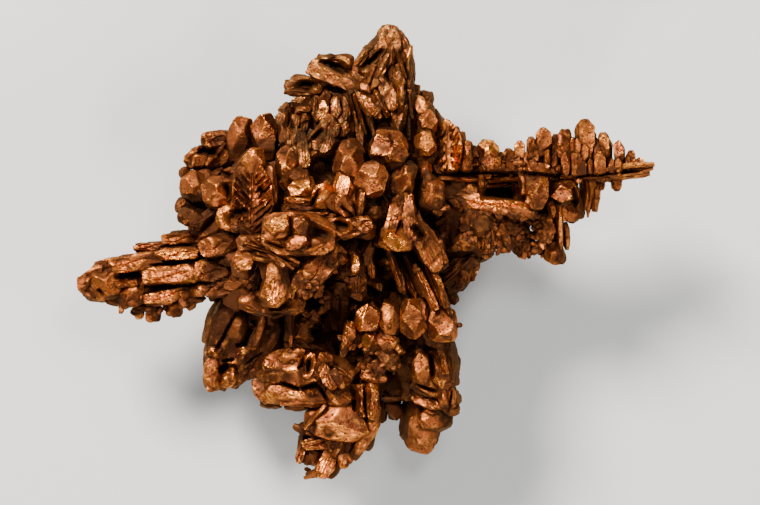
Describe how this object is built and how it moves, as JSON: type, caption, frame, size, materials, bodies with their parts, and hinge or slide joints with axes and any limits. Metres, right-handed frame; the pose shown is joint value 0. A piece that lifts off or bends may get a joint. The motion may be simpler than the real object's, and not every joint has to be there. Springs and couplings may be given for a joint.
{
  "type": "native copper nugget",
  "caption": "Branching nugget of native copper: blocky crystals over a lumpy core, with a fringed spear, a peak, a bundled arm and ragged legs.",
  "frame": {"origin": "the middle of the bounding box in plan, on the surface that the nugget rests on", "axes": "+X from the bundled arm to the fringed spear, +Y from the ragged legs to the peak, +Z out of the best face, away from the flat back"},
  "size_m": [0.0966, 0.0766, 0.0427],
  "materials": {
    "copper": "semi-bright metal with a dark red-brown skin, polished golden-orange on its crystal faces and edges, near black in its gaps"
  },
  "bodies": {
    "root": {"copper_nugget": "copper"}
  },
  "joints": []
}
